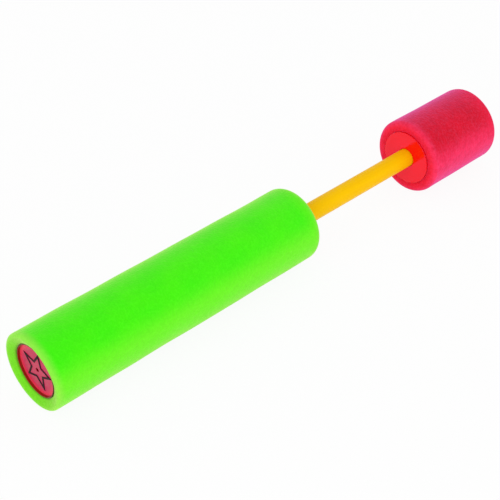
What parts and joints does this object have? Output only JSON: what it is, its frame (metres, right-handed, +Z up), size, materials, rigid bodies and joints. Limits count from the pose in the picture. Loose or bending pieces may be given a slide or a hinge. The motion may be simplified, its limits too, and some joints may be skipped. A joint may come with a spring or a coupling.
{
  "type": "water squirter",
  "caption": "Hand-pumped water squirter: foam-sleeved barrel with a recessed nozzle cap, and a sliding rod with a piston and a foam-gripped handle.",
  "frame": {"origin": "middle of the part's base, below the pump axis, with the part lying on its side", "axes": "+X along the pump axis from the nozzle to the handle, +Z up"},
  "size_m": [0.417, 0.0568, 0.0569],
  "materials": {
    "green_foam": "matte closed-cell foam, bright green",
    "red_foam": "matte closed-cell foam, red with a fine grain",
    "red_plastic": "satin moulded plastic, red",
    "yellow_plastic": "satin extruded plastic, yellow",
    "white_plastic": "natural white moulded plastic",
    "black_rubber": "matte black rubber",
    "steel": "drawn stainless steel wire"
  },
  "bodies": {
    "barrel": {"barrel_foam_sleeve": "green_foam", "barrel_tube": "white_plastic", "nozzle_cap": "red_plastic", "nozzle_o_ring": "black_rubber", "rear_rod_guide": "red_plastic"},
    "piston": {"piston_head": "white_plastic", "piston_o_ring_front": "black_rubber", "piston_o_ring_rear": "black_rubber"},
    "plunger": {"plunger_rod": "yellow_plastic", "swivel_pin_left": "steel", "swivel_pin_right": "steel", "handle_core": "red_plastic", "handle_cross_pin": "steel", "handle_end_cap": "red_plastic", "handle_foam_grip": "red_foam"}
  },
  "joints": [
    {"name": "plunger_slide", "type": "slide", "parent": "barrel", "child": "piston", "axis": [1, 0, 0], "range_m": [-0.1165, 0.0468]},
    {"name": "plunger_turn", "type": "hinge", "parent": "piston", "child": "plunger", "pos_m": [-0.0485, 0, 0.02844], "axis": [1, 0, 0], "continuous": true}
  ]
}
